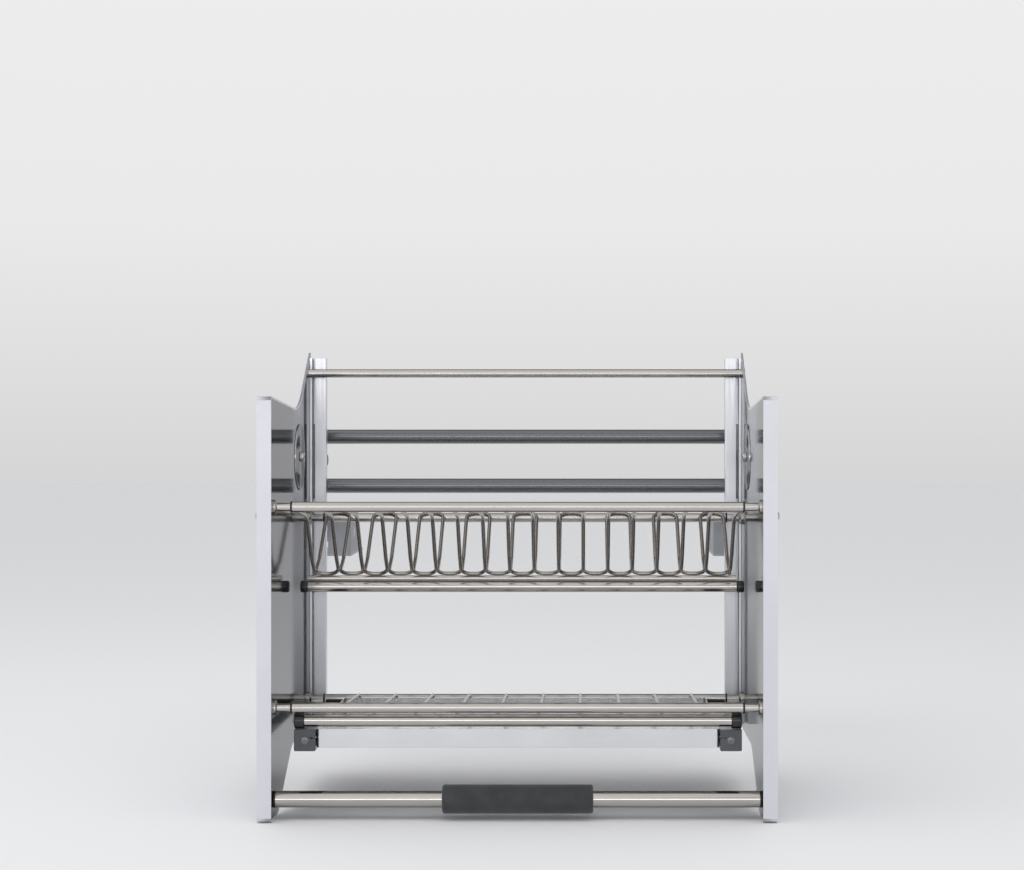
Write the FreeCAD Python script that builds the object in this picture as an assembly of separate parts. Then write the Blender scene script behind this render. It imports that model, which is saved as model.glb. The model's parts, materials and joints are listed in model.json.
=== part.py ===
import FreeCAD, Part
import math
import os

# Pull-down dish rack, lowered: two mirror-lined side panels joined by rails, a plate shelf with
# wire dividers, a bowl shelf, a drip tray that slides out, and parallel lift arms on two wall plates.
# Lengths in millimetres.  X runs across the rack, Z up.  Inside this file Y is the depth behind the
# panels' front faces; every piece is written with Y = 0 in the middle of the overall depth.

# Rack panels
rack_half_width = 250.0
panel_thickness = 14.0
panel_depth = 285.0
panel_front_height = 409.0
panel_tip_height = 462.0
panel_bottom = 53.0
foot_depth = 46.0
slant_top_depth = 140.0
dip_inset = 90.0
dip_drop = 12.0
dip_radius = 100.0
slant_radius = 45.0
foot_radius = 15.0
corner_radius = 4.0
tip_corner_radius = 1.0
shell_wall = 1.2
shell_rim = 2.0
liner_thickness = 1.0
boss_width = 10.0
nut_height = 4.0
front_profile_depth = 26.0

# Rear uprights
upright_width = 12.0
upright_gap = 6.0
upright_wall = 1.4
window_margin = 2.0
bracket_inset = 6.0
upright_top_drop = 7.0
upright_foot_rise = 2.0

# Shelf rails
front_rail_depth = 16.0
front_rail_radius = 5.0
rear_rail_inset = 21.0
rear_rail_radius = 4.8
upper_rail_drop = 24.0
upper_rail_radius = 4.5
plate_rail_height = 302.0
plate_rear_rail_height = 281.0
bowl_rail_height = 108.0
bowl_rear_rail_height = 84.5
rail_half_length = 217.5
ring_length = 2.0
ring_lip = 0.8
stub_radius = 4.0
stub_flange_radius = 7.0
stub_flange = 3.0

# Plate cradle and its wire dividers
cradle_depth = 161.0
cradle_height = 214.0
cradle_radius = 5.5
cradle_half_length = 222.0
cradle_cap_radius = 6.35
cradle_cap_length = 8.0
cradle_rod_radius = 3.0
wire_radius = 2.0
wire_side_count = 6
part_line_margin = 0.4
divider_count = 18
divider_half_span = 215.0
front_knee = (96.0, 290.0)
front_bend = (134.0, 246.0)
rear_bend = (196.0, 240.0)
front_contact_angle = 20.0
rear_contact_angle = 55.0
weld_gap = 0.05

# Bowl shelf
bowl_tube_depth = 26.0
bowl_tube_height = 94.4
bowl_tube_radius = 6.0
bowl_tube_half_length = 207.0
bowl_cap_radius = 8.25
bowl_cap_length = 10.0
bowl_wire_radius = 1.6
bowl_wire_count = 10
bowl_wire_half_span = 180.0
bowl_wire_front_angle = 50.0
bowl_wire_rear_angle = 45.0

# Drip tray and its runners
tray_front = 22.0
tray_rear_gap = 4.2
tray_bottom = 68.5
tray_height = 18.0
tray_wall = 0.8
tray_corner = 4.0
tray_half_width = 195.5
tray_lip = 5.5
tray_lip_height = 9.0
tray_lip_thickness = 1.0
slide_clearance = 0.3
runner_half_gap = 196.0
runner_width = 21.0
runner_bottom = 65.2
runner_corner = 2.0
runner_head_length = 14.0
runner_saddle_depth = 1.3
runner_saddle_wall = 3.2
runner_screw_rise = 10.4
runner_screw_head = 1.5
screw_head_radius = 4.0
panel_screw_depth = 12.0
panel_screw_drop = 8.5
panel_screw_radius = 3.0
panel_screw_head = 2.0
small_piece_side_count = 8
round_piece_side_count = 12
screw_head_height = 3.0

# Handle
handle_depth = 20.0
handle_height = 19.0
handle_radius = 8.0
handle_ring_radius = 8.6
handle_ring_length = 2.0
grip_radius = 14.0
grip_length = 146.0

# Round covers on the panels
disc_radius = 37.0
disc_thickness = 3.0
disc_inset = 89.0
disc_height = 348.0
disc_screw_radius = 5.0
disc_side_count = 24

# Lift: two arms a side, turning in parallel between the rack and the wall plates
lift_tube_radius = 8.0
tube_panel_gap = 1.0
lower_tube_height = 315.0
pivot_offset_depth = 30.0
pivot_offset_height = 54.0
arm_length = 308.0
lowered_angle = 12.4
arm_width = 24.0
arm_thickness = 4.0
lower_arm_plane = 256.0
upper_arm_plane = 264.0
running_clearance = 0.05
open_pivot_clearance = 0.1
bush_wall = 2.0
bracket_thickness = 4.5
bracket_margin = 14.0
bracket_corner = 10.0
bracket_foot_corner = 2.0
bolt_head_radius = 5.0
bolt_head_height = 3.0
bolt_side_count = 6

# Wall plates, stops and spring housings
wall_half_width = 282.0
plate_thickness = 3.0
plate_front_reach = 41.8
plate_rear_reach = 93.2
plate_bottom = 221.4
plate_top = 363.0
plate_corner = 12.0
flange_reach = 59.0
wall_hole_radius = 2.75
wall_hole_margin = 10.0
wall_hole_rise = 14.0
shaft_radius = 7.0
shaft_bush_wall = 1.5
upper_stud_radius = 6.0
stud_shoulder_radius = 9.0
side_clearance = 0.3
clip_thickness = 1.5
clip_radius = 8.0
stop_buffer_radius = 7.0
lower_stop_reach = 50.0
upper_stop_reach = 40.0
stop_clearance = 0.3
raise_angle = 89.5
housing_inner = 223.0
housing_width = 26.0
housing_cover = 2.0
housing_rear_reach = 45.0
housing_top = 273.0
housing_wall = 2.5
housing_corner = 8.0
spring_inner_radius = 11.0
spring_outer_radius = 19.0
spring_end_gap = 0.3

# Allowances used while cutting and picking edges
cut_overrun = 1.0
length_match = 0.01
chamfer_angle = 45.0

# Values that follow from the sizes above
dip_depth = panel_depth - dip_inset
dip_height = panel_front_height - dip_drop
upright_top = panel_tip_height - upright_top_drop
upright_bottom = panel_bottom + upright_foot_rise
rear_rail_depth = panel_depth - rear_rail_inset
upper_rail_height = panel_tip_height - upper_rail_drop
panel_screw_height = plate_rail_height - panel_screw_drop
tray_rear = rear_rail_depth - rear_rail_radius - tray_rear_gap
disc_depth = panel_depth - disc_inset
lower_tube_depth = panel_depth + tube_panel_gap + lift_tube_radius
panel_inner = rack_half_width - panel_thickness
liner_back = panel_inner + liner_thickness
skin_back = liner_back + shell_wall
boss_top = rack_half_width - shell_wall
ring_end = rail_half_length + ring_length
upright_outer = panel_inner - upright_gap
upright_inner = upright_outer - upright_width
upper_tube_depth = lower_tube_depth + pivot_offset_depth
upper_tube_height = lower_tube_height + pivot_offset_height
arm_run = arm_length * math.cos(math.radians(lowered_angle))
arm_drop = arm_length * math.sin(math.radians(lowered_angle))
shaft_depth = lower_tube_depth + arm_run
shaft_height = lower_tube_height - arm_drop
stud_depth = shaft_depth + pivot_offset_depth
plate_front = shaft_depth - plate_front_reach
plate_rear = shaft_depth + plate_rear_reach
stud_height = shaft_height + pivot_offset_height
plate_inner = wall_half_width - plate_thickness
runner_head_top = bowl_tube_height - bowl_cap_radius
runner_top = bowl_rear_rail_height - rear_rail_radius + runner_saddle_depth
overall_depth = plate_rear

X_AXIS = FreeCAD.Vector(1, 0, 0)
ORIGIN = FreeCAD.Vector(0, 0, 0)


def point(x, y, z):
    return FreeCAD.Vector(x, y, z)


def rounded_outline(corners, x):
    """Closed wire in the plane X = x through (depth, height, radius) corners, each corner rounded."""
    starts = []
    ends = []
    mids = []
    count = len(corners)
    for i, (y, z, radius) in enumerate(corners):
        here = point(x, y, z)
        before = point(x, *corners[i - 1][:2]) - here
        after = point(x, *corners[(i + 1) % count][:2]) - here
        before.normalize()
        after.normalize()
        half = before.getAngle(after) / 2
        setback = radius / math.tan(half)
        inward = before + after
        inward.normalize()
        centre = here + inward * (radius / math.sin(half))
        starts.append(here + before * setback)
        ends.append(here + after * setback)
        mids.append(centre - inward * radius)
    edges = []
    for i in range(count):
        if corners[i][2] > 0:
            edges.append(Part.Arc(starts[i], mids[i], ends[i]).toShape())
        edges.append(Part.LineSegment(ends[i], starts[(i + 1) % count]).toShape())
    return Part.Wire(edges)


def plate(corners, x_inner, thickness):
    """Flat piece across X with a rounded outline in depth and height."""
    return Part.Face(rounded_outline(corners, x_inner)).extrude(X_AXIS * thickness)


def rod(radius, x_start, x_end, y, z):
    return Part.makeCylinder(radius, x_end - x_start, point(x_start, y, z), X_AXIS)


def corner_reach(radius, flats):
    """Centre to corner of the regular polygon whose area is that of the circle of this radius."""
    turn = 2 * math.pi / flats
    return radius * math.sqrt(2 * math.pi / (flats * math.sin(turn)))


def flats_outline(radius, flats, centre, across, upward):
    """Closed polygon round a centre, as large as the circle of this radius in area."""
    turn = 2 * math.pi / flats
    reach = corner_reach(radius, flats)
    corners = []
    for i in range(flats):
        angle = turn * (i + 0.5)
        corners.append(centre + across * (reach * math.cos(angle))
                       + upward * (reach * math.sin(angle)))
    return Part.makePolygon(corners + corners[:1])


def flat_sided_rod(radius, flats, x_start, x_end, y, z):
    """Rod along X whose round section is cut as equal flats, for small pieces that repeat."""
    outline = flats_outline(radius, flats, point(x_start, y, z), point(0, 1, 0), point(0, 0, 1))
    return Part.Face(outline).extrude(X_AXIS * (x_end - x_start))


def sleeve(inner, outer, x_start, x_end, y, z):
    return rod(outer, x_start, x_end, y, z).cut(rod(inner, x_start, x_end, y, z))


def other_side(shape):
    return shape.mirror(ORIGIN, X_AXIS)


def write(node, solids):
    """One STEP file for a node, in the frame centred on the overall depth."""
    shape = solids[0] if len(solids) == 1 else Part.makeCompound(solids)
    shape.translated(point(0, -overall_depth / 2, 0)).exportStep("parts/" + node + ".step")


def write_pair(node, shape):
    write(node + "_r", [shape])
    write(node + "_l", [other_side(shape)])


def write_both(node, shapes):
    """Left and right copies of the given pieces in one node."""
    write(node, list(shapes) + [other_side(s) for s in shapes])


def panel_corners():
    return [
        (0, 0, corner_radius),
        (foot_depth, 0, foot_radius),
        (slant_top_depth, panel_bottom, slant_radius),
        (panel_depth, panel_bottom, 0),
        (panel_depth, panel_tip_height, tip_corner_radius),
        (dip_depth, dip_height, dip_radius),
        (0, panel_front_height, corner_radius),
    ]


def rail_places():
    """Depth and height of the rails that end on the panels with a stub, and their radii."""
    return {
        "plate_shelf_front_rail": (front_rail_depth, plate_rail_height, front_rail_radius),
        "plate_shelf_rear_rail": (rear_rail_depth, plate_rear_rail_height, rear_rail_radius),
        "bowl_shelf_front_rail": (front_rail_depth, bowl_rail_height, front_rail_radius),
        "bowl_shelf_rear_rail": (rear_rail_depth, bowl_rear_rail_height, rear_rail_radius),
    }


def side_panels():
    outline = Part.Face(rounded_outline(panel_corners(), panel_inner))
    recess = outline.makeOffset2D(-shell_rim)
    skin = outline.extrude(X_AXIS * (skin_back - panel_inner))
    skin = skin.cut(recess.extrude(X_AXIS * liner_thickness))
    tall = Part.makeBox(panel_thickness, front_profile_depth, panel_front_height,
                        point(panel_inner, 0, 0))
    profile = outline.extrude(X_AXIS * panel_thickness).common(tall)
    channel = outline.makeOffset2D(-shell_wall).extrude(X_AXIS * (boss_top - panel_inner))
    shell = skin.fuse(profile.cut(channel))
    shell = shell.cut(recess.extrude(X_AXIS * liner_thickness))
    for y, z in ((front_rail_depth, plate_rail_height), (front_rail_depth, bowl_rail_height),
                 (panel_screw_depth, panel_screw_height), (handle_depth, handle_height)):
        shell = shell.fuse(fixing_block(y, z, boss_top))
    for y, z in ((rear_rail_depth, plate_rear_rail_height), (rear_rail_depth, bowl_rear_rail_height),
                 (rear_rail_depth, upper_rail_height), (disc_depth, disc_height)):
        shell = shell.fuse(fixing_block(y, z, skin_back + nut_height))
    write_pair("side_shell", shell.removeSplitter())
    write_pair("side_liner", recess.extrude(X_AXIS * liner_thickness))


def fixing_block(y, z, x_end):
    """Block on the outer side of the skin that a rail's or cover's screw goes into."""
    corner = point(liner_back, y - boss_width / 2, z - boss_width / 2)
    return Part.makeBox(x_end - liner_back, boss_width, boss_width, corner)


def rear_uprights():
    front = panel_depth - upright_width
    height = upright_top - upright_bottom
    corner = point(upright_inner, front, upright_bottom)
    leg = Part.makeBox(upright_width, upright_width, height, corner)
    bore = upright_width - 2 * upright_wall
    inset = point(upright_inner + upright_wall, front + upright_wall, upright_bottom)
    leg = leg.cut(Part.makeBox(bore, bore, height, inset))
    web = Part.makeBox(upright_gap, upright_wall, height,
                       point(upright_outer, panel_depth - upright_wall, upright_bottom))
    flange = Part.makeBox(upright_wall, upright_width, height,
                          point(panel_inner - upright_wall, front, upright_bottom))
    profile = leg.fuse([web, flange])
    window_bottom = lower_tube_height - bracket_margin - window_margin
    window_top = upper_tube_height + bracket_margin + window_margin
    window = Part.makeBox(upright_gap - upright_wall, upright_width, window_top - window_bottom,
                          point(upright_outer, front, window_bottom))
    write_pair("rear_upright", profile.cut(window).removeSplitter())


def pivot_brackets():
    front = panel_depth - bracket_inset
    bottom = lower_tube_height - bracket_margin
    top = upper_tube_height + bracket_margin
    rear = upper_tube_depth + bracket_margin
    corners = [
        (front, bottom, bracket_foot_corner),
        (lower_tube_depth + bracket_margin / 2, bottom, bracket_corner),
        (rear, upper_tube_height - bracket_margin, bracket_corner),
        (rear, top, bracket_corner),
        (front, top, bracket_foot_corner),
    ]
    bracket = plate(corners, upright_outer, bracket_thickness)
    bushes = []
    for y, z, gap in tube_places():
        bore = lift_tube_radius + gap
        width = 2 * (bore + bush_wall)
        corner = point(upright_outer, y - width / 2, z - width / 2)
        block = Part.makeBox(bracket_thickness, width, width, corner)
        bracket = bracket.cut(block)
        bushes.append(block.cut(rod(bore, upright_outer, panel_inner, y, z)))
    write_pair("pivot_bracket", bracket)
    write_both("pivot_bushes", bushes)


def tube_places():
    """Depth, height and running gap of the two tubes that the rack hangs from."""
    return [
        (lower_tube_depth, lower_tube_height, running_clearance),
        (upper_tube_depth, upper_tube_height, open_pivot_clearance),
    ]


def disc_covers():
    front = panel_inner - disc_thickness
    write_both("disc_covers", [
        flat_sided_rod(disc_radius, disc_side_count, front, panel_inner, disc_depth, disc_height)])
    write_both("disc_screws", [
        flat_sided_rod(disc_screw_radius, small_piece_side_count, front - screw_head_height, front,
                       disc_depth, disc_height)])


def shelf_rails():
    stubs = []
    rings = []
    flange = panel_inner - stub_flange
    for node, (y, z, radius) in rail_places().items():
        write(node, [rod(radius, -rail_half_length, rail_half_length, y, z)])
        rings.append(flat_sided_rod(radius + ring_lip, small_piece_side_count, rail_half_length,
                                    ring_end, y, z))
        neck = flat_sided_rod(stub_radius, small_piece_side_count, ring_end, flange, y, z)
        foot = flat_sided_rod(stub_flange_radius, small_piece_side_count, flange, panel_inner, y, z)
        stubs.append(neck.fuse(foot))
    write_both("rail_rings", rings)
    write_both("rail_stubs", stubs)
    write("upper_rear_rail", [
        rod(upper_rail_radius, -panel_inner, panel_inner, rear_rail_depth, upper_rail_height)])
    write_both("panel_screws", [
        flat_sided_rod(panel_screw_radius, small_piece_side_count, rack_half_width,
                       rack_half_width + panel_screw_head, panel_screw_depth, panel_screw_height)])


def divider_x(i):
    return -divider_half_span + 2 * divider_half_span * i / (divider_count - 1)


def bent_wire(points, radius):
    """Wire along straight runs, mitred where they meet, its section cut as equal flats."""
    run = points[1] - points[0]
    run.normalize()
    upward = X_AXIS.cross(run)
    section = flats_outline(radius, wire_side_count, points[0], X_AXIS, upward)
    return Part.makePolygon(points).makePipeShell([section], True, False, 1)


def parted(wire):
    """The runs of a serpentine wire and the turns between them, as pieces that meet face to face."""
    pitch = divider_x(1) - divider_x(0)
    run_width = 2 * (wire_radius + part_line_margin)
    box = wire.BoundBox
    pieces = []
    for i in range(divider_count):
        for start, width in ((divider_x(i) - run_width / 2, run_width),
                             (divider_x(i) + run_width / 2, pitch - run_width)):
            corner = point(start, box.YMin - cut_overrun, box.ZMin - cut_overrun)
            slab = Part.makeBox(width, box.YLength + 2 * cut_overrun,
                                box.ZLength + 2 * cut_overrun, corner)
            pieces += wire.common(slab).Solids
    return pieces


def serpentine(leg, starts_up):
    """Wire that runs up and down the leg's points, one divider further at each turn."""
    points = []
    up = starts_up
    for i in range(divider_count):
        run = leg if up else list(reversed(leg))
        points += [point(divider_x(i), y, z) for y, z in run]
        up = not up
    return parted(bent_wire(points, wire_radius))


def plate_cradle():
    write("plate_rack_tube", [
        rod(cradle_radius, -cradle_half_length, cradle_half_length, cradle_depth, cradle_height)])
    write_both("plate_rack_end_caps", [
        flat_sided_rod(cradle_cap_radius, round_piece_side_count, cradle_half_length,
                       cradle_half_length + cradle_cap_length, cradle_depth, cradle_height)])
    rod_height = cradle_height + cradle_radius + weld_gap + cradle_rod_radius
    write("plate_rack_rod", [
        rod(cradle_rod_radius, -cradle_half_length, cradle_half_length, cradle_depth, rod_height)])
    wire_reach = corner_reach(wire_radius, wire_side_count) + weld_gap
    aside = wire_reach
    seat_height = rod_height + math.sqrt((cradle_rod_radius + wire_reach) ** 2 - aside ** 2)
    angle = math.radians(front_contact_angle)
    reach = front_rail_radius + wire_reach
    front_top = (front_rail_depth + reach * math.cos(angle),
                 plate_rail_height - reach * math.sin(angle))
    angle = math.radians(rear_contact_angle)
    reach = rear_rail_radius + wire_reach
    rear_top = (rear_rail_depth - reach * math.cos(angle),
                plate_rear_rail_height + reach * math.sin(angle))
    front_leg = [(cradle_depth - aside, seat_height), front_bend, front_knee, front_top]
    rear_leg = [(cradle_depth + aside, seat_height), rear_bend, rear_top]
    write("plate_wires_front", serpentine(front_leg, False))
    write("plate_wires_rear", serpentine(rear_leg, True))


def bowl_shelf():
    tube = rod(bowl_tube_radius, -bowl_tube_half_length, bowl_tube_half_length,
               bowl_tube_depth, bowl_tube_height)
    write("bowl_rack_tube", [tube])
    write_both("bowl_rack_end_caps", [
        flat_sided_rod(bowl_cap_radius, round_piece_side_count, bowl_tube_half_length,
                       bowl_tube_half_length + bowl_cap_length, bowl_tube_depth,
                       bowl_tube_height)])
    wire_reach = corner_reach(bowl_wire_radius, wire_side_count) + weld_gap
    angle = math.radians(bowl_wire_front_angle)
    reach = bowl_tube_radius + wire_reach
    start = point(0, bowl_tube_depth + reach * math.cos(angle),
                  bowl_tube_height + reach * math.sin(angle))
    angle = math.radians(bowl_wire_rear_angle)
    reach = rear_rail_radius + wire_reach
    end = point(0, rear_rail_depth - reach * math.cos(angle),
                bowl_rear_rail_height + reach * math.sin(angle))
    run = end - start
    along = point(0, run.y / run.Length, run.z / run.Length)
    section = flats_outline(bowl_wire_radius, wire_side_count, start, X_AXIS, X_AXIS.cross(along))
    wire = Part.Face(section).extrude(run)
    wires = []
    for i in range(bowl_wire_count):
        x = -bowl_wire_half_span + 2 * bowl_wire_half_span * i / (bowl_wire_count - 1)
        wires.append(wire.translated(point(x, 0, 0)))
    write("bowl_rack_wires", wires)


def upright_edges(body, height):
    return [e for e in body.Edges if abs(e.BoundBox.ZLength - height) < length_match]


def drip_tray():
    depth = tray_rear - tray_front
    body = Part.makeBox(2 * tray_half_width, depth, tray_height,
                        point(-tray_half_width, tray_front, tray_bottom))
    body = body.makeFillet(tray_corner, upright_edges(body, tray_height))
    inner = Part.makeBox(2 * (tray_half_width - tray_wall), depth - 2 * tray_wall, tray_height,
                         point(tray_wall - tray_half_width, tray_front + tray_wall,
                               tray_bottom + tray_wall))
    body = body.cut(inner.makeFillet(tray_corner - tray_wall, upright_edges(inner, tray_height)))
    lip = Part.makeBox(tray_lip, depth - 2 * tray_corner, tray_lip_thickness,
                       point(tray_half_width, tray_front + tray_corner,
                             tray_bottom + tray_lip_height))
    write("drip_tray", [body.fuse([lip, other_side(lip)])])


def tray_runners():
    outer = runner_half_gap + runner_width
    front = bowl_tube_depth - bowl_tube_radius
    reach = rear_rail_radius + runner_saddle_wall
    runner = Part.makeBox(runner_width, rear_rail_depth + reach - front, runner_top - runner_bottom,
                          point(runner_half_gap, front, runner_bottom))
    head = Part.makeBox(runner_width, runner_head_length, runner_head_top - runner_bottom,
                        point(runner_half_gap, front, runner_bottom))
    runner = runner.fuse(head)
    for x in (runner_half_gap, outer):
        edge = Part.makeBox(2 * runner_corner, rear_rail_depth + reach - front, 2 * runner_corner,
                            point(x - runner_corner, front, runner_bottom - runner_corner))
        edge.rotate(point(x, front, runner_bottom), point(0, 1, 0), chamfer_angle)
        runner = runner.cut(edge)
    groove = Part.makeBox(
        tray_lip + slide_clearance + tray_half_width - runner_half_gap, tray_rear - front + cut_overrun,
        tray_lip_thickness + 2 * slide_clearance,
        point(runner_half_gap, front, tray_bottom + tray_lip_height - slide_clearance))
    runner = runner.cut(groove)
    seat = rod(rear_rail_radius + weld_gap, 0, rack_half_width, rear_rail_depth,
               bowl_rear_rail_height)
    write_pair("tray_runner", runner.cut(seat).removeSplitter())
    screw_x = runner_half_gap + runner_width / 2
    screws = []
    for place, outward in (
            (point(screw_x, front, runner_bottom + runner_screw_rise), point(0, -1, 0)),
            (point(screw_x, rear_rail_depth, runner_bottom), point(0, 0, -1))):
        outline = flats_outline(screw_head_radius, small_piece_side_count, place, X_AXIS,
                                outward.cross(X_AXIS))
        screws.append(Part.Face(outline).extrude(outward * runner_screw_head))
    write_both("runner_screws", screws)


def handle():
    tube_end = panel_inner - handle_ring_length
    write("handle_tube", [rod(handle_radius, -tube_end, tube_end, handle_depth, handle_height)])
    write_both("handle_end_rings", [
        flat_sided_rod(handle_ring_radius, round_piece_side_count, tube_end, panel_inner,
                       handle_depth, handle_height)])
    write("foam_grip", [
        sleeve(handle_radius, grip_radius, -grip_length / 2, grip_length / 2,
               handle_depth, handle_height)])


def arm(x, rack_y, rack_z, wall_y, wall_z, wall_bore):
    """Flat bar, rounded about the pivot at each end."""
    half = arm_width / 2
    far = arm_length
    edges = [
        Part.LineSegment(point(x, 0, -half), point(x, far, -half)).toShape(),
        Part.Arc(point(x, far, -half), point(x, far + half, 0), point(x, far, half)).toShape(),
        Part.LineSegment(point(x, far, half), point(x, 0, half)).toShape(),
        Part.Arc(point(x, 0, half), point(x, -half, 0), point(x, 0, -half)).toShape(),
    ]
    shape = Part.Face(Part.Wire(edges)).extrude(X_AXIS * arm_thickness)
    shape.rotate(ORIGIN, X_AXIS, -lowered_angle)
    shape.translate(point(0, rack_y, rack_z))
    return shape.cut(rod(wall_bore, x, x + arm_thickness, wall_y, wall_z))


def lift_arms():
    write_pair("lower_arm", arm(lower_arm_plane, lower_tube_depth, lower_tube_height,
                                shaft_depth, shaft_height, shaft_radius))
    write_pair("upper_arm", arm(upper_arm_plane, upper_tube_depth, upper_tube_height,
                                stud_depth, stud_height,
                                upper_stud_radius + running_clearance))
    lower_end = lower_arm_plane + arm_thickness
    upper_end = upper_arm_plane + arm_thickness
    write("lower_cross_tube", [
        rod(lift_tube_radius, -lower_arm_plane, lower_arm_plane,
            lower_tube_depth, lower_tube_height)])
    write("upper_cross_tube", [
        rod(lift_tube_radius, -upper_arm_plane, upper_arm_plane,
            upper_tube_depth, upper_tube_height)])
    write_both("lower_tube_bolts", [
        flat_sided_rod(bolt_head_radius, bolt_side_count, lower_end, lower_end + bolt_head_height,
                       lower_tube_depth, lower_tube_height)])
    write_both("upper_tube_bolts", [
        flat_sided_rod(bolt_head_radius, bolt_side_count, upper_end, upper_end + bolt_head_height,
                       upper_tube_depth, upper_tube_height)])
    write_both("lower_shafts", [
        rod(shaft_radius, housing_inner + side_clearance, wall_half_width - side_clearance,
            shaft_depth, shaft_height)])


def stop_places():
    """Centres of the two stop studs: under the upper arm when lowered, behind it when raised."""
    beside = arm_width / 2 + stop_buffer_radius + stop_clearance
    places = []
    for turn, reach, side in ((0, lower_stop_reach, 1), (raise_angle, upper_stop_reach, -1)):
        angle = math.radians(180 - lowered_angle - turn)
        along = (math.cos(angle), math.sin(angle))
        normal = (-along[1] * side, along[0] * side)
        places.append((stud_depth + reach * along[0] + beside * normal[0],
                       stud_height + reach * along[1] + beside * normal[1]))
    return places


def wall_plates():
    corners = [
        (plate_front, plate_bottom, 0),
        (plate_rear, plate_bottom, 0),
        (plate_rear, plate_top, 0),
        (plate_front + plate_corner, plate_top, 0),
        (plate_front, plate_top - plate_corner, 0),
    ]
    wall = plate(corners, plate_inner, plate_thickness)
    flange = Part.makeBox(flange_reach, plate_rear - plate_front, plate_thickness,
                          point(wall_half_width - flange_reach, plate_front, plate_bottom))
    wall = wall.fuse(flange).removeSplitter()
    for y in (plate_front + wall_hole_margin, plate_rear - wall_hole_margin):
        for z in (plate_bottom + wall_hole_rise, plate_top - wall_hole_rise):
            wall = wall.cut(rod(wall_hole_radius, plate_inner, wall_half_width, y, z))
    bush_width = 2 * (shaft_radius + running_clearance + shaft_bush_wall)
    bush = Part.makeBox(plate_thickness, bush_width, bush_width,
                        point(plate_inner, shaft_depth - bush_width / 2,
                              shaft_height - bush_width / 2))
    wall = wall.cut(bush)
    bore = rod(shaft_radius + running_clearance, plate_inner, wall_half_width, shaft_depth,
               shaft_height)
    write_pair("wall_plate", wall)
    write_both("stop_buffers", [
        flat_sided_rod(stop_buffer_radius, round_piece_side_count, upper_arm_plane - side_clearance,
                       plate_inner, y, z)
        for y, z in stop_places()])
    write_both("shaft_bushes", [bush.cut(bore)])


def upper_studs():
    shoulder = upper_arm_plane + arm_thickness + side_clearance
    start = upper_arm_plane - side_clearance
    pin = rod(upper_stud_radius, start, plate_inner, stud_depth, stud_height)
    collar = flat_sided_rod(stud_shoulder_radius, small_piece_side_count, shoulder, plate_inner,
                            stud_depth, stud_height)
    write_both("upper_pivot_studs", [pin.fuse(collar).removeSplitter()])
    write_both("stud_caps", [
        flat_sided_rod(clip_radius, small_piece_side_count, start - clip_thickness, start,
                       stud_depth, stud_height)])


def spring_housings():
    bottom = plate_bottom + plate_thickness
    rear = shaft_depth + housing_rear_reach
    corners = [
        (plate_front, bottom, 0),
        (rear, bottom, 0),
        (rear, housing_top - housing_corner, 0),
        (rear - housing_corner, housing_top, 0),
        (plate_front, housing_top, 0),
    ]
    body = plate(corners, housing_inner, housing_width)
    hollow = Part.makeBox(
        housing_width - housing_wall, rear - plate_front - 2 * housing_wall,
        housing_top - bottom - 2 * housing_wall,
        point(housing_inner + housing_wall, plate_front + housing_wall, bottom + housing_wall))
    bore = rod(shaft_radius + running_clearance, 0, wall_half_width, shaft_depth, shaft_height)
    cover_x = housing_inner + housing_width
    write_pair("spring_housing", body.cut(hollow).cut(bore))
    write_both("spring_covers", [plate(corners, cover_x, housing_cover).cut(bore)])
    spring_start = housing_inner + housing_wall + spring_end_gap
    spring = flat_sided_rod(spring_outer_radius, round_piece_side_count, spring_start,
                            cover_x - spring_end_gap, shaft_depth, shaft_height)
    core = flat_sided_rod(spring_inner_radius, round_piece_side_count, spring_start,
                          cover_x - spring_end_gap, shaft_depth, shaft_height)
    write_both("balance_springs", [spring.cut(core)])


os.makedirs("parts", exist_ok=True)
side_panels()
rear_uprights()
pivot_brackets()
disc_covers()
shelf_rails()
plate_cradle()
bowl_shelf()
drip_tray()
tray_runners()
handle()
lift_arms()
wall_plates()
upper_studs()
spring_housings()
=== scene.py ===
import bpy
import bmesh
import json
import math
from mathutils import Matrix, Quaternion, Vector


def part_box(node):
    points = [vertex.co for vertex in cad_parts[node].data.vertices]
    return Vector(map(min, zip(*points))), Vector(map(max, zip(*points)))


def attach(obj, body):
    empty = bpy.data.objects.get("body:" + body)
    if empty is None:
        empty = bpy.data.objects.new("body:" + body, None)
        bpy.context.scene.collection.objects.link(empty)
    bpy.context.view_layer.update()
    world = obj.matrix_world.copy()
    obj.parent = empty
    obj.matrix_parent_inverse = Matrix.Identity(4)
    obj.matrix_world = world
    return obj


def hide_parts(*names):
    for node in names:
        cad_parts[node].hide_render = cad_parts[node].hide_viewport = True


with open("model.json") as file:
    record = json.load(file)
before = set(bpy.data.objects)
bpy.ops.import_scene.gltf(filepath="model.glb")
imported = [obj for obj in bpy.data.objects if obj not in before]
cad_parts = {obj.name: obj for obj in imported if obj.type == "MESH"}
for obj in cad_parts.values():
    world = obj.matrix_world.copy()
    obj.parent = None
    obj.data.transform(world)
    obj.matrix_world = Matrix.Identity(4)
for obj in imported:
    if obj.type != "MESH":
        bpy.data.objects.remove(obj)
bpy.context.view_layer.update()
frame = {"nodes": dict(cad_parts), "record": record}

# Lengths are in metres, in the frame of the CAD part: X across, Y towards the wall, Z up.
MM = 0.001
NODES = frame["nodes"]
BOTH_SIDES = (1, -1)

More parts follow.
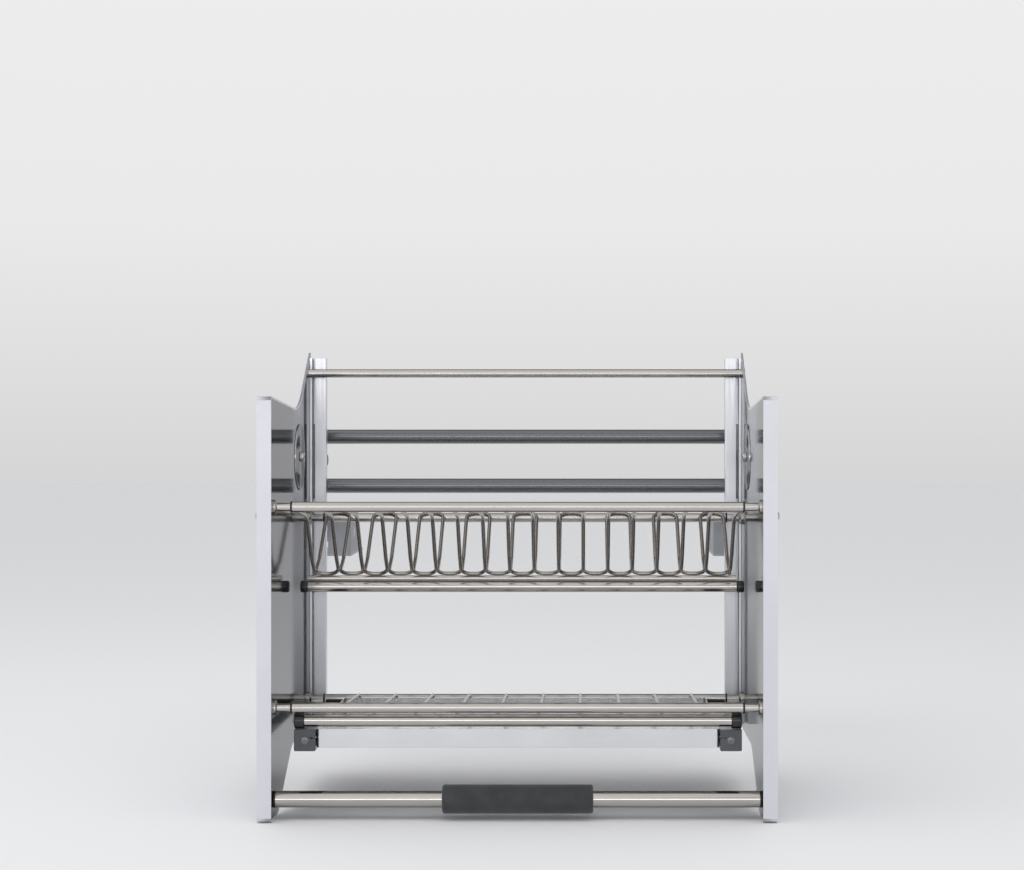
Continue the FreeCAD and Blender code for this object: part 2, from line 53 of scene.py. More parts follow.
# Wires of the plate rack. Their knees are placed by Y and Z from the middle of its tube, in mm.
DIVIDER_COUNT = 18
DIVIDER_HALF_SPAN = 215.0 * MM
DIVIDER_RADIUS = 2.0 * MM
TURN_RADIUS = 10.0 * MM
TOP_TURN_RADIUS = 4.5 * MM
KNEE_RADIUS = 26.0 * MM
FRONT_KNEES = ((-27.0, 32.0), (-65.0, 76.0))
REAR_KNEES = ((35.0, 26.0),)

# Wires of the bowl shelf
BOWL_WIRE_COUNT = 10
BOWL_WIRE_HALF_SPAN = 180.0 * MM
BOWL_WIRE_RADIUS = 1.6 * MM
BOWL_WIRE_END_GAP = 0.2 * MM

# A wire's line keeps this many of its radii from the faces of the node's box.
WIRE_ROOM = 1.1

# Rings, caps and stubs at the ends of the rails and tubes. The flange, which lies on the liner,
# is given by its distance from the liner and its radius, in mm.
RING_RISE = 0.8 * MM
RING_FILLET = 0.9 * MM
CAP_FILLET = 1.4 * MM
CAP_ROOM = 0.2 * MM
STUB_RADIUS = 4.0 * MM
STUB_FLANGE = ((3.6, 4.0), (3.1, 4.6), (3.0, 6.2), (2.2, 7.0), (0.0, 7.0))

# Round covers on the liners: the boss by its distance from the liner and its radius, the rim by
# its distance from the liner and its distance inside the cover's radius, in mm
DISC_MARGIN = 2.0 * MM
DISC_BOSS = ((3.0, 0.0), (3.0, 4.9), (2.7, 5.2), (1.6, 5.4), (1.3, 5.8), (1.2, 6.6))
DISC_RIM = ((1.2, 0.6), (1.05, 0.2), (0.7, 0.0), (0.0, 0.0))
DISC_BOSS_HEIGHT = DISC_BOSS[0][0] * MM

# Panels: their skin, and the blocks that stand on it with the rails' screws in them
SKIN_THICKNESS = 1.2 * MM
BLOCK_HEIGHT = 4.0 * MM

# Screw heads: radius, height and length of the cross recess, in mm. The runners' front screws
# stand at a height above the runners' feet.
HEAD_SIZES = {
    "panel_screws": (4.0, 2.9, 4.6),
    "disc_screws": (5.0, 2.9, 5.4),
    "runner_screws": (4.0, 1.5, 4.4),
    "panel_back_screws": (3.6, 2.2, 4.0),
}
RUNNER_SCREW_HEIGHT = 10.4 * MM


def body_of_node(node):
    for body, nodes in frame["record"]["behaviour"]["bodies"].items():
        if node in nodes:
            return body
    return None


def slot_of_node(node):
    for entry in frame["record"]["subparts"]:
        if entry["node"] == node:
            return entry["material_slot"]
    return None


def middle(node):
    low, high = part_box(node)
    return (low + high) / 2


def right_end(node):
    """The node's largest X."""
    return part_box(node)[1].x


def round_section(node):
    """Y and Z of the axis, and the radius, of a node that is round about X."""
    low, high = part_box(node)
    centre = (low + high) / 2
    return centre.y, centre.z, (high.z - low.z) / 2


# Materials

# Most values of a noise texture lie between these two.
NOISE_LOW = 0.3
NOISE_HIGH = 0.7


def new_material(name, color, metallic, roughness):
    mat = bpy.data.materials.new(name)
    mat.use_nodes = True
    shader = mat.node_tree.nodes["Principled BSDF"]
    shader.inputs["Base Color"].default_value = (*color, 1.0)
    shader.inputs["Metallic"].default_value = metallic
    shader.inputs["Roughness"].default_value = roughness
    return mat, mat.node_tree, shader


def object_noise(tree, scale, stretch=(1, 1, 1), detail=4.0):
    """Noise that stays on the object. A small stretch draws it out along that axis."""
    coords = tree.nodes.new("ShaderNodeTexCoord")
    mapping = tree.nodes.new("ShaderNodeMapping")
    mapping.inputs["Scale"].default_value = stretch
    noise = tree.nodes.new("ShaderNodeTexNoise")
    noise.inputs["Scale"].default_value = scale
    noise.inputs["Detail"].default_value = detail
    tree.links.new(coords.outputs["Object"], mapping.inputs["Vector"])
    tree.links.new(mapping.outputs["Vector"], noise.inputs["Vector"])
    return noise.outputs["Fac"]


def noise_range(tree, noise, low, high):
    """Maps a noise value onto a range."""
    node = tree.nodes.new("ShaderNodeMapRange")
    node.inputs["From Min"].default_value = NOISE_LOW
    node.inputs["From Max"].default_value = NOISE_HIGH
    node.inputs["To Min"].default_value = low
    node.inputs["To Max"].default_value = high
    tree.links.new(noise, node.inputs["Value"])
    return node.outputs["Result"]


def cloudy_color(tree, shader, color, scale, darkest, lightest, lift=0.0):
    """Lets the color vary in soft clouds between two shares of itself, and returns the clouds."""
    clouds = object_noise(tree, scale)
    mix = tree.nodes.new("ShaderNodeMix")
    mix.data_type = "RGBA"
    mix.inputs["A"].default_value = (*(c * darkest for c in color), 1.0)
    mix.inputs["B"].default_value = (*(min(1.0, c * lightest + lift) for c in color), 1.0)
    tree.links.new(noise_range(tree, clouds, 0.0, 1.0), mix.inputs["Factor"])
    tree.links.new(mix.outputs["Result"], shader.inputs["Base Color"])
    return clouds


def uneven_roughness(tree, shader, noise, roughness, smoothest, roughest):
    """Lets the roughness follow a noise between two shares of itself."""
    value = noise_range(tree, noise, roughness * smoothest, roughness * roughest)
    tree.links.new(value, shader.inputs["Roughness"])


def bump(tree, shader, noise, strength, distance):
    node = tree.nodes.new("ShaderNodeBump")
    node.inputs["Strength"].default_value = strength
    node.inputs["Distance"].default_value = distance
    tree.links.new(noise, node.inputs["Height"])
    tree.links.new(node.outputs["Normal"], shader.inputs["Normal"])


def metal(name, color, roughness, wear=0.05, grain=(1, 1, 1), grain_scale=900.0, relief=0.03,
          edge=1.0):
    """Metal with a drawn or brushed grain and faint clouds. An edge below 1 dims it at a slant."""
    mat, tree, shader = new_material(name, color, 1.0, roughness)
    shader.inputs["Specular Tint"].default_value = (edge, edge, edge, 1)
    streaks = object_noise(tree, grain_scale, grain, detail=3.0)
    cloudy_color(tree, shader, color, scale=14.0, darkest=1 - wear, lightest=1 + wear)
    uneven_roughness(tree, shader, streaks, roughness, smoothest=0.8, roughest=1.25)
    bump(tree, shader, streaks, relief, distance=0.4 * MM)
    return mat


def plastic(name, color, roughness, relief=0.12):
    """Moulded plastic or rubber with a fine skin."""
    mat, tree, shader = new_material(name, color, 0.0, roughness)
    skin = object_noise(tree, 1600.0, detail=2.0)
    clouds = cloudy_color(tree, shader, color, scale=30.0, darkest=0.9, lightest=1.1, lift=0.004)
    uneven_roughness(tree, shader, clouds, roughness, smoothest=0.9, roughest=1.12)
    bump(tree, shader, skin, relief, distance=0.3 * MM)
    return mat


def painted(name, color, roughness, metallic=0.0, relief=0.06):
    """Sprayed coat with a faint orange peel and a clear sheen."""
    mat, tree, shader = new_material(name, color, metallic, roughness)
    peel = object_noise(tree, 420.0, detail=2.0)
    cloudy_color(tree, shader, color, scale=9.0, darkest=0.965, lightest=1.03)
    uneven_roughness(tree, shader, peel, roughness, smoothest=0.9, roughest=1.1)
    bump(tree, shader, peel, relief, distance=0.3 * MM)
    shader.inputs["Coat Weight"].default_value = 0.25
    shader.inputs["Coat Roughness"].default_value = 0.18
    return mat


def foam(name, color, roughness):
    """Foam rubber with fine cells and a soft sheen."""
    mat, tree, shader = new_material(name, color, 0.0, roughness)
    cells = object_noise(tree, 1400.0, detail=5.0)
    cloudy_color(tree, shader, color, scale=60.0, darkest=0.75, lightest=1.35)
    bump(tree, shader, cells, strength=0.35, distance=0.6 * MM)
    shader.inputs["Sheen Weight"].default_value = 0.25
    shader.inputs["Sheen Roughness"].default_value = 0.5
    return mat


ALONG_X = (0.02, 1, 1)
ALONG_Z = (1, 1, 0.02)
LOOKS = {
    "panel_silver": (painted, dict(color=(0.635, 0.635, 0.68), roughness=0.34, metallic=0.2,
                                   relief=0.02)),
    "mirror_steel": (metal, dict(color=(0.47, 0.47, 0.485), roughness=0.08, wear=0.03,
                                 grain=ALONG_Z, grain_scale=500.0, relief=0.006, edge=0.56)),
    "polished_steel": (metal, dict(color=(0.50, 0.48, 0.455), roughness=0.13, wear=0.04,
                                   grain=ALONG_X, relief=0.002, edge=0.5)),
    "wire_steel": (metal, dict(color=(0.33, 0.305, 0.28), roughness=0.24, wear=0.06,
                               relief=0.01)),
    "tray_steel": (metal, dict(color=(0.68, 0.68, 0.70), roughness=0.2, grain=ALONG_X,
                               grain_scale=1400.0, relief=0.05)),
    "profile_aluminium": (metal, dict(color=(0.70, 0.71, 0.745), roughness=0.38, wear=0.04,
                                      grain=ALONG_Z)),
    "arm_grey": (painted, dict(color=(0.15, 0.155, 0.165), roughness=0.17, metallic=0.6,
                               relief=0.003)),
    # Painted shade: dark grey for the web inside the uprights' slot, where shade falls, not a colour
    # of the aluminium.
    "groove": (painted, dict(color=(0.10, 0.10, 0.115), roughness=0.5, relief=0.02)),
    "wall_grey": (painted, dict(color=(0.30, 0.31, 0.33), roughness=0.45)),
    "pin_steel": (metal, dict(color=(0.48, 0.48, 0.49), roughness=0.18, relief=0.01)),
    "black_plastic": (plastic, dict(color=(0.012, 0.012, 0.0135), roughness=0.24, relief=0.03)),
    "smoky_plastic": (plastic, dict(color=(0.062, 0.065, 0.075), roughness=0.2, relief=0.04)),
    "grey_plastic": (plastic, dict(color=(0.26, 0.27, 0.29), roughness=0.5)),
    "white_plastic": (plastic, dict(color=(0.72, 0.72, 0.70), roughness=0.45)),
    "disc_grey": (metal, dict(color=(0.40, 0.40, 0.42), roughness=0.17, wear=0.03, relief=0.01,
                              edge=0.55)),
    "foam": (foam, dict(color=(0.030, 0.031, 0.034), roughness=0.72)),
    "buffer_rubber": (plastic, dict(color=(0.02, 0.02, 0.02), roughness=0.7)),
    "spring_steel": (metal, dict(color=(0.30, 0.30, 0.31), roughness=0.35)),
}
MATERIALS = {name: make(name, **look) for name, (make, look) in LOOKS.items()}


# Objects

def add_object(name, data):
    obj = bpy.data.objects.new(name, data)
    bpy.context.scene.collection.objects.link(obj)
    return obj


def object_of_form(name, form):
    """Turns a bmesh into an object, and frees it."""
    mesh = bpy.data.meshes.new(name)
    form.to_mesh(mesh)
    form.free()
    return add_object(name, mesh)


def evaluated_mesh(obj):
    """The mesh of an object with its modifiers or its wire thickness applied."""
    bpy.context.view_layer.update()
    depsgraph = bpy.context.evaluated_depsgraph_get()
    return bpy.data.meshes.new_from_object(obj.evaluated_get(depsgraph))


def smooth(mesh, angle):
    """Shades a mesh smooth, but for the edges that turn by more than the angle in degrees."""
    mesh.polygons.foreach_set("use_smooth", [True] * len(mesh.polygons))
    mesh.set_sharp_from_angle(angle=math.radians(angle))


def finish_piece(obj, node):
    """Gives a new piece the node's finish, and lets it ride where the node rides, in its place."""
    slot = slot_of_node(node)
    obj.data.materials.clear()
    obj.data.materials.append(MATERIALS[slot])
    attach(obj, body_of_node(node))
    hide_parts(node)
    return obj


# Bent wires

def fillet_path(points, radii, steps=7):
    """Points of a path whose corners are rounded with arcs of the given radii."""
    nearly_straight = math.pi / 2 - 0.01
    # Two arcs meet on each run, so neither takes half of it.
    share_of_run = 0.48
    path = [points[0]]
    for before, here, after, radius in zip(points, points[1:], points[2:], radii):
        into = (before - here).normalized()
        out = (after - here).normalized()
        half = into.angle(out) / 2
        if half > nearly_straight:
            path.append(here)
            continue
        room = share_of_run * min((before - here).length, (after - here).length)
        setback = min(radius / math.tan(half), room)
        radius = setback * math.tan(half)
        bisector = (into + out).normalized()
        centre = here + bisector * (radius / math.sin(half))
        start = here + into * setback - centre
        end = here + out * setback - centre
        axis = start.cross(end).normalized()
        turn = start.angle(end)
        for i in range(steps + 1):
            path.append(centre + Quaternion(axis, turn * i / steps) @ start)
    path.append(points[-1])
    return path


def wire_piece(name, node, paths, radius):
    """Round wires of one radius along the given paths, as one mesh that stands for the node."""
    curve = bpy.data.curves.new(name, "CURVE")
    curve.dimensions = "3D"
    curve.bevel_depth = radius
    curve.bevel_resolution = 4
    curve.use_fill_caps = True
    for path in paths:
        line = curve.splines.new("POLY")
        line.points.add(len(path) - 1)
        for point, place in zip(line.points, path):
            point.co = (*place, 1.0)
        line.use_smooth = True
    source = add_object(name + "_line", curve)
    mesh = evaluated_mesh(source)
    bpy.data.objects.remove(source)
    mesh.name = name
    smooth(mesh, angle=40.0)
    finish_piece(add_object(name, mesh), node)


def spaced(i, count, half_span):
    """X of one of a count of wires, which are spaced evenly from side to side."""
    return -half_span + 2 * half_span * i / (count - 1)


def serpentine(leg, radii, starts_up):
    """One wire up and down the dividers: leg is (y, z) from the bottom up, radii at its bends."""
    points = []
    rounding = []
    for i in range(DIVIDER_COUNT):
        goes_up = starts_up == (i % 2 == 0)
        run = leg if goes_up else leg[::-1]
        bends = radii if goes_up else radii[::-1]
        x = spaced(i, DIVIDER_COUNT, DIVIDER_HALF_SPAN)
        points += [Vector((x, y, z)) for y, z in run]
        rounding += bends
    return fillet_path(points, rounding[1:-1])


def plate_wires():
    """The two serpentine wires between the plates, of opposite phase."""
    tube = middle("plate_rack_tube")
    room = WIRE_ROOM * DIVIDER_RADIUS

    def knees(places):
        return [(tube.y + y * MM, tube.z + z * MM) for y, z in places]

    low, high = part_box("plate_wires_front")
    bottom_z = low.z + room
    leg = [(high.y - room, bottom_z), *knees(FRONT_KNEES), (low.y + room, high.z - room)]
    path = serpentine(leg, [TURN_RADIUS, KNEE_RADIUS, KNEE_RADIUS, TOP_TURN_RADIUS], False)
    wire_piece("plate_divider_front", "plate_wires_front", [path], DIVIDER_RADIUS)
    low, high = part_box("plate_wires_rear")
    leg = [(low.y + room, bottom_z), *knees(REAR_KNEES), (high.y - room, high.z - room)]
    path = serpentine(leg, [TURN_RADIUS, KNEE_RADIUS, TURN_RADIUS], True)
    wire_piece("plate_divider_rear", "plate_wires_rear", [path], DIVIDER_RADIUS)


def bowl_wires():
    """The straight cross wires that the bowls stand on."""
    low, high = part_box("bowl_rack_wires")
    room = WIRE_ROOM * BOWL_WIRE_RADIUS
    paths = []
    for i in range(BOWL_WIRE_COUNT):
        x = spaced(i, BOWL_WIRE_COUNT, BOWL_WIRE_HALF_SPAN)
        paths.append([(x, low.y + BOWL_WIRE_END_GAP, high.z - room),
                      (x, high.y - BOWL_WIRE_END_GAP, low.z + room)])
    wire_piece("bowl_shelf_wires", "bowl_rack_wires", paths, BOWL_WIRE_RADIUS)


# Pieces turned about X

def turned_form(form, profile, y, z, side, facets=56):
    """Adds a turned piece: profile is (x, radius) from end to end, mirrored for side -1."""
    rings = []
    for x, radius in profile:
        angles = [2 * math.pi * i / facets for i in range(facets)] if radius > 0 else [0.0]
        rings.append([form.verts.new((side * x, y + radius * math.cos(angle),
                                      z + radius * math.sin(angle))) for angle in angles])
    for first, second in zip(rings, rings[1:]):
        for i in range(facets):
            j = (i + 1) % facets
            if len(first) == 1:
                form.faces.new((first[0], second[i], second[j]))
            elif len(second) == 1:
                form.faces.new((first[i], second[0], first[j]))
            else:
                form.faces.new((first[i], second[i], second[j], first[j]))


def turned_piece(name, node, parts):
    """One piece of turned parts: each is (profile, y, z, side)."""
    form = bmesh.new()
    for profile, y, z, side in parts:
        turned_form(form, profile, y, z, side)
    bmesh.ops.recalc_face_normals(form, faces=form.faces)
    obj = object_of_form(name, form)
    smooth(obj.data, angle=32.0)
    return finish_piece(obj, node)


def both_rounded(x_start, x_end, radius, fillet, steps=4):
    """Profile of a cylinder with both edges rounded."""
    arc = []
    for i in range(steps + 1):
        angle = math.pi / 2 * i / steps
        arc.append((fillet * (1 - math.cos(angle)), radius - fillet * (1 - math.sin(angle))))
    start = [(x_start + inset, arc_radius) for inset, arc_radius in arc]
    end = [(x_end - inset, arc_radius) for inset, arc_radius in reversed(arc)]
    return [(x_start, 0.0), *start, *end, (x_end, 0.0)]


def rail_ends():
    """Black end rings of the four shelf rails, and the stepped stubs from them to the panels."""
    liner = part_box("side_liner_r")[0].x
    ring_end = right_end("rail_rings")
    stub = [(ring_end, 0.0), (ring_end, STUB_RADIUS)]
    stub += [(liner - reach * MM, radius * MM) for reach, radius in STUB_FLANGE]
    stub += [(liner, 0.0)]
    rings = []
    stubs = []
    for node in ("plate_shelf_front_rail", "plate_shelf_rear_rail",
                 "bowl_shelf_front_rail", "bowl_shelf_rear_rail"):
        y, z, radius = round_section(node)
        ring = both_rounded(right_end(node), ring_end, radius + RING_RISE, RING_FILLET)
        for side in BOTH_SIDES:
            rings.append((ring, y, z, side))
            stubs.append((stub, y, z, side))
    turned_piece("rail_end_rings", "rail_rings", rings)
    turned_piece("rail_end_stubs", "rail_stubs", stubs)


def tube_ends(name, node, tube, fillet):
    """The caps or rings at both ends of a tube."""
    y, z, radius = round_section(node)
    profile = both_rounded(right_end(tube), right_end(node), radius - CAP_ROOM, fillet)
    turned_piece(name, node, [(profile, y, z, side) for side in BOTH_SIDES])


def grip():
    """Soft sleeve on the handle. Its end faces shade flat out to a ring, and round beyond it."""
    low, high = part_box("foam_grip")
    y, z, radius = round_section("foam_grip")
    flat_radius = 9.0 * MM
    start, *edges, end = both_rounded(low.x, high.x, radius, fillet=2.5 * MM, steps=6)
    profile = [start, (low.x, flat_radius), *edges, (high.x, flat_radius), end]
    sleeve = turned_piece("soft_grip", "foam_grip", [(profile, y, z, 1)])


def disc_covers():
    """Thin round covers on the liners, with a low boss that carries the screw."""
    liner = right_end("disc_covers")
    y, z, radius = round_section("disc_covers")
    radius -= DISC_MARGIN
    profile = [(liner - reach * MM, boss_radius * MM) for reach, boss_radius in DISC_BOSS]
    profile += [(liner - reach * MM, radius - inset * MM) for reach, inset in DISC_RIM]
    profile += [(liner, 0.0)]
    turned_piece("disc_covers_turned", "disc_covers", [(profile, y, z, side) for side in BOTH_SIDES])


# Screws

def screw_head(radius, height, recess):
    """Round-topped head with a cross recess, standing on the origin and looking along X."""
    steps = 6
    rim_height = 0.35 * height
    recess_width = 0.28 * recess
    cutter_middle = 0.95 * height
    profile = [(0.0, 0.0), (0.0, radius)]
    for i in range(steps):
        angle = math.pi / 2 * i / steps
        profile.append((rim_height + (height - rim_height) * math.sin(angle),
                        radius * math.cos(angle)))
    profile.append((height, 0.0))
    form = bmesh.new()
    turned_form(form, profile, 0.0, 0.0, 1, facets=32)
    bmesh.ops.recalc_face_normals(form, faces=form.faces)
    head = object_of_form("head", form)
    cutters = []
    for turn in (0, math.pi / 2):
        bpy.ops.mesh.primitive_cube_add(size=1)
        cutter = bpy.context.object
        cutter.scale = (height, recess, recess_width)
        cutter.rotation_euler = (turn, 0, 0)
        cutter.location = (cutter_middle, 0, 0)
        cut = head.modifiers.new("recess", "BOOLEAN")
        cut.operation = "DIFFERENCE"
        cut.object = cutter
        cut.solver = "EXACT"
        cutters.append(cutter)
    mesh = evaluated_mesh(head)
    for extra in cutters + [head]:
        bpy.data.objects.remove(extra)
    return mesh


def screw_heads(name, kind, places):
    """One object of heads of a kind: each place is the foot's centre and the way the head looks."""
    head = screw_head(*(size * MM for size in HEAD_SIZES[kind]))
    form = bmesh.new()
    for centre, outward in places:
        placed = head.copy()
        stance = Vector(outward).to_track_quat("X", "Z").to_matrix().to_4x4()
        stance.translation = centre
        placed.transform(stance)
        form.from_mesh(placed)
    obj = object_of_form(name, form)
    smooth(obj.data, angle=30.0)
    return obj


def screws():
    """Heads outside the panels, on the round covers, on the runners and on the panels' blocks."""
    cover_face = right_end("disc_covers") - DISC_BOSS_HEIGHT
    for node, face, outward in (("panel_screws", right_end("side_shell_r"), 1),
                                ("disc_screws", cover_face, -1)):
        at = middle(node)
        places = [((side * face, at.y, at.z), (side * outward, 0, 0)) for side in BOTH_SIDES]
        finish_piece(screw_heads(node + "_cross_head", node, places), node)
    runner = middle("tray_runner_r")
    runner_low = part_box("tray_runner_r")[0]
    rear_rail = middle("bowl_shelf_rear_rail")
    places = []
    for side in BOTH_SIDES:
        x = side * runner.x
        places.append(((x, runner_low.y, runner_low.z + RUNNER_SCREW_HEIGHT), (0, -1, 0)))
        places.append(((x, rear_rail.y, runner_low.z), (0, 0, -1)))
    finish_piece(screw_heads("runner_screws_cross_head", "runner_screws", places), "runner_screws")
    block_face = right_end("side_liner_r") + SKIN_THICKNESS + BLOCK_HEIGHT
    places = []
    for node in ("plate_shelf_rear_rail", "bowl_shelf_rear_rail", "disc_covers"):
        at = middle(node)
        places += [((side * block_face, at.y, at.z), (side, 0, 0)) for side in BOTH_SIDES]
    heads = screw_heads("panel_back_screws", "panel_back_screws", places)
    heads.data.materials.append(MATERIALS["pin_steel"])
    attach(heads, "rack")


# Pieces with rounded edges

def round_edges(form, name, node, width, segments=2, angle=35.0, pick=None):
    """Makes the node's piece from a form, with its edges rounded, or only those that pick chooses."""
    weight = form.edges.layers.float.new("bevel_weight_edge")
    for edge in form.edges:
        if len(edge.link_faces) != 2 or edge.calc_face_angle(0) < math.radians(angle):
            continue
        if pick is None or pick(edge):
            edge[weight] = 1.0
    obj = object_of_form(name, form)
    bevel = obj.modifiers.new("edge rounding", "BEVEL")
    bevel.width = width
    bevel.segments = segments
    bevel.limit_method = "WEIGHT"
    bevel.use_clamp_overlap = True
    smooth(obj.data, angle=28.0)
    weighted = obj.modifiers.new("even shading", "WEIGHTED_NORMAL")
    weighted.keep_sharp = False
    return finish_piece(obj, node)


def flat_faces_whole(form):
    """Joins points that coincide, and the triangles of each flat face."""
    bmesh.ops.remove_doubles(form, verts=form.verts, dist=0.001 * MM)
    bmesh.ops.dissolve_limit(form, angle_limit=math.radians(0.5), verts=form.verts,
                             edges=form.edges)


def rounded_copy(node, width, shape=None, **rounding):
    """A copy of the node with rounded edges, after shape has moved its points where one is given."""
    form = bmesh.new()
    form.from_mesh(NODES[node].data)
    flat_faces_whole(form)
    if shape:
        for vert in form.verts:
            shape(vert.co)
        flat_faces_whole(form)
    return round_edges(form, node + "_finished", node, width, **rounding)


def upright(node, side):
    """Hollow upright with a narrow slot between its leg and the strip that holds it to the panel."""
    low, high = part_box("rear_upright_r")
    wall = 1.4 * MM
    leg_end = low.x + 12.0 * MM
    strip = high.x - 3.0 * MM
    faces = ((0, 1, 3, 2), (4, 6, 7, 5), (0, 4, 5, 1), (2, 3, 7, 6), (0, 2, 6, 4), (1, 5, 7, 3))
    form = bmesh.new()

    # A bar that is flagged takes the second material, the dark grey painted shade of the slot.
    def bar(x_from, x_to, y_from, y_to, painted_shade=False):
        corners = [form.verts.new((side * x, y, z)) for x in (x_from, x_to)
                   for y in (y_from, y_to) for z in (low.z, high.z)]
        for picked in faces:
            form.faces.new([corners[i] for i in picked]).material_index = int(painted_shade)

    bar(low.x, leg_end, low.y, low.y + wall)
    bar(low.x, leg_end, high.y - wall, high.y)
    bar(low.x, low.x + wall, low.y + wall, high.y - wall)
    bar(leg_end - wall, leg_end, low.y + wall, high.y - wall)
    # The web at the back of the slot is painted dark grey as the shade inside the slot, not the
    # aluminium's own colour.
    bar(leg_end, strip, high.y - wall, high.y, painted_shade=True)
    bar(strip, high.x, low.y, high.y)
    bmesh.ops.recalc_face_normals(form, faces=form.faces)
    obj = round_edges(form, node + "_profile", node, width=0.3 * MM)
    # The second material is that painted shade of the slot's web.
    obj.data.materials.append(MATERIALS["groove"])


def bracket_behind_upright(place):
    """The bracket's front is set just inside the upright's rear."""
    overlap = 2.0 * MM
    place.y = max(place.y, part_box("rear_upright_r")[1].y - overlap)


def flush_nut(place):
    """The nut of the upper rail is left flush, as it doesn't show above the panel."""
    rail = middle("upper_rear_rail")
    nut_reach = 7.0 * MM
    nut_height = 0.4 * MM
    top = right_end("side_liner_r") + SKIN_THICKNESS + nut_height
    if abs(place.y - rail.y) < nut_reach and abs(place.z - rail.z) < nut_reach:
        place.x = math.copysign(min(abs(place.x), top), place.x)


def small_runner_corner(place):
    """The runner's lower corners are made smaller, so that their rounding ends as in the photo."""
    low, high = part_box("tray_runner_r")
    corner = 2.9 * MM
    share = 0.3
    across = abs(place.x)
    if place.z < low.z + corner and (across < low.x + corner or across > high.x - corner):
        side = low.x if across < low.x + corner else high.x
        place.x = math.copysign(side + share * (across - side), place.x)
        place.z = low.z + share * (place.z - low.z)


def rounded_nodes():
    """Makes the uprights, and copies of the nodes whose edges show, rounded."""
    panel_low, panel_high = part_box("side_shell_r")
    touching = 0.01 * MM

    def channel_edge(edge):
        at_outer = all(abs(abs(vert.co.x) - panel_high.x) < touching for vert in edge.verts)
        at_front = all(vert.co.y - panel_low.y < touching for vert in edge.verts)
        return at_outer or at_front

    for letter, side in (("l", -1), ("r", 1)):
        rounded_copy("side_shell_" + letter, width=1.2 * MM, shape=flush_nut, segments=4, angle=50.0,
                     pick=channel_edge)
        rounded_copy("tray_runner_" + letter, width=1.1 * MM, shape=small_runner_corner, segments=4)
        upright("rear_upright_" + letter, side)
        rounded_copy("pivot_bracket_" + letter, width=0.4 * MM, shape=bracket_behind_upright)
        rounded_copy("lower_arm_" + letter, width=0.6 * MM)
        rounded_copy("upper_arm_" + letter, width=0.6 * MM)
        rounded_copy("wall_plate_" + letter, width=0.4 * MM)
        rounded_copy("spring_housing_" + letter, width=1.6 * MM, segments=3)
    rounded_copy("drip_tray", width=0.25 * MM)
    rounded_copy("stop_buffers", width=1.2 * MM, segments=3)
    rounded_copy("lower_tube_bolts", width=0.4 * MM)
    rounded_copy("upper_tube_bolts", width=0.4 * MM)


def finish_nodes():
    """Gives every CAD node the material of its slot."""
    for node, obj in NODES.items():
        obj.data.materials.clear()
        obj.data.materials.append(MATERIALS[slot_of_node(node)])


# Floor, light and camera

# Brightness of the background by its height: 0 is where it starts, a little below the horizon,
# and 1 is overhead.
BACKGROUND_START = -0.1
BACKGROUND_LEVELS = ((0.0, 0.645), (0.06, 0.655), (0.18, 0.82), (0.35, 0.86), (0.55, 0.55),
                     (0.8, 0.2))
BACKGROUND_BLUE = 1.01


def floor():
    bpy.ops.mesh.primitive_plane_add(size=24, location=(0, 0, -1.0 * MM))
    plane = bpy.context.object
    plane.name = "floor"
    mat, _, shader = new_material("floor_pale", (0.86, 0.86, 0.865), 0.0, 0.7)
    shader.inputs["Specular IOR Level"].default_value = 0.1
    plane.data.materials.append(mat)


def background_color(tree):
    """Color of the background that the camera and the reflections see, by its height."""
    coords = tree.nodes.new("ShaderNodeTexCoord")
    split = tree.nodes.new("ShaderNodeSeparateXYZ")
    height = tree.nodes.new("ShaderNodeMapRange")
    height.inputs["From Min"].default_value = BACKGROUND_START
    ramp = tree.nodes.new("ShaderNodeValToRGB")
    stops = ramp.color_ramp.elements
    stops.remove(stops[1])
    for position, level in BACKGROUND_LEVELS:
        stop = stops.new(position) if position > 0 else stops[0]
        stop.color = (level, level, level * BACKGROUND_BLUE, 1)
    tree.links.new(coords.outputs["Generated"], split.inputs["Vector"])
    tree.links.new(split.outputs["Z"], height.inputs["Value"])
    tree.links.new(height.outputs["Result"], ramp.inputs["Fac"])
    return ramp.outputs["Color"]


def any_of(tree, values):
    """1 where any of the values is 1."""
    result = values[0]
    for value in values[1:]:
        larger = tree.nodes.new("ShaderNodeMath")
        larger.operation = "MAXIMUM"
        tree.links.new(result, larger.inputs[0])
        tree.links.new(value, larger.inputs[1])
        result = larger.outputs["Value"]
    return result


def studio():
    """Plain light from all round, and a pale background for the camera and the reflections."""
    world = bpy.data.worlds.new("studio")
    world.use_nodes = True
    bpy.context.scene.world = world
    tree = world.node_tree
    lighting = tree.nodes["Background"]
    lighting.inputs["Color"].default_value = (0.97, 0.98, 1.0, 1)
    lighting.inputs["Strength"].default_value = 0.68
    seen = tree.nodes.new("ShaderNodeBackground")
    tree.links.new(background_color(tree), seen.inputs["Color"])
    rays = tree.nodes.new("ShaderNodeLightPath")
    shows = any_of(tree, [rays.outputs["Is Camera Ray"], rays.outputs["Is Glossy Ray"],
                          rays.outputs["Is Transmission Ray"]])
    mix = tree.nodes.new("ShaderNodeMixShader")
    tree.links.new(shows, mix.inputs["Fac"])
    tree.links.new(lighting.outputs["Background"], mix.inputs[1])
    tree.links.new(seen.outputs["Background"], mix.inputs[2])
    tree.links.new(mix.outputs["Shader"], tree.nodes["World Output"].inputs["Surface"])


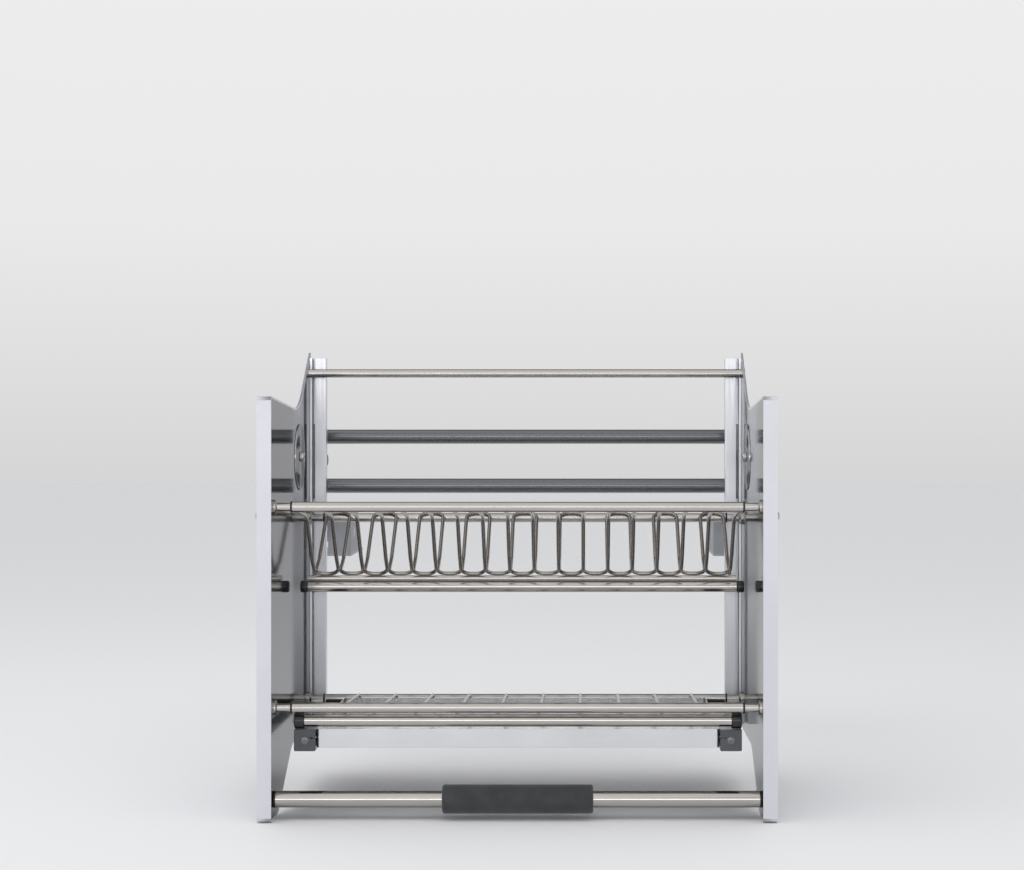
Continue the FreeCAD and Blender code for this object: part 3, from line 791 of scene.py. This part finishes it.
def area_light(name, place, target, size, power, beam=180):
    """Rectangular lamp at a place, looking at a target. The beam is its spread in degrees."""
    light = bpy.data.lights.new(name, "AREA")
    light.shape = "RECTANGLE"
    light.size, light.size_y = size
    light.energy = power
    light.spread = math.radians(beam)
    lamp = add_object(name, light)
    lamp.location = place
    lamp.rotation_euler = (Vector(target) - Vector(place)).to_track_quat("-Z", "Y").to_euler()


def lamps():
    area_light("front", place=(-0.3, -3.9, 0.5), target=(0.03, -0.3, 0.3), size=(4.2, 0.5),
               power=5.5, beam=100)
    area_light("top", place=(-0.5, -0.75, 1.75), target=(0, -0.15, 0.2), size=(3.2, 2.6),
               power=12.5)
    sky = bpy.data.lights.new("sky", "SUN")
    sky.energy = 0.4
    sky.angle = math.radians(90)
    add_object("sky", sky).rotation_euler = (math.radians(20), math.radians(-8), 0)


def camera():
    """The photograph's view, from its vanishing point and the eye's place in the frame."""
    photo_width = 1024.0
    photo_height = 870.0
    focal_pixels = 2040.0
    vanishing_x = 585.0
    vanishing_y = 430.0
    eye_right = 65.0 * MM
    eye_distance = 1955.6 * MM
    eye_height = 376.4 * MM
    data = bpy.data.cameras.new("photo_view")
    data.sensor_fit = "HORIZONTAL"
    data.sensor_width = 36.0
    data.lens = focal_pixels / photo_width * data.sensor_width
    data.shift_x = -(vanishing_x - photo_width / 2) / photo_width
    data.shift_y = (vanishing_y - photo_height / 2) / photo_width
    view = add_object("photo_view", data)
    panel_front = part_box("side_shell_r")[0].y
    view.location = (eye_right, panel_front - eye_distance, eye_height)
    view.rotation_euler = (math.radians(90), 0, 0)
    bpy.context.scene.camera = view


plate_wires()
bowl_wires()
rail_ends()
tube_ends("plate_rack_end_caps_moulded", "plate_rack_end_caps", "plate_rack_tube", CAP_FILLET)
tube_ends("bowl_rack_end_caps_moulded", "bowl_rack_end_caps", "bowl_rack_tube", CAP_FILLET)
grip()
tube_ends("handle_rings", "handle_end_rings", "handle_tube", RING_FILLET)
disc_covers()
screws()
rounded_nodes()
finish_nodes()
floor()
studio()
lamps()
camera()
bpy.context.scene.view_settings.view_transform = "Standard"
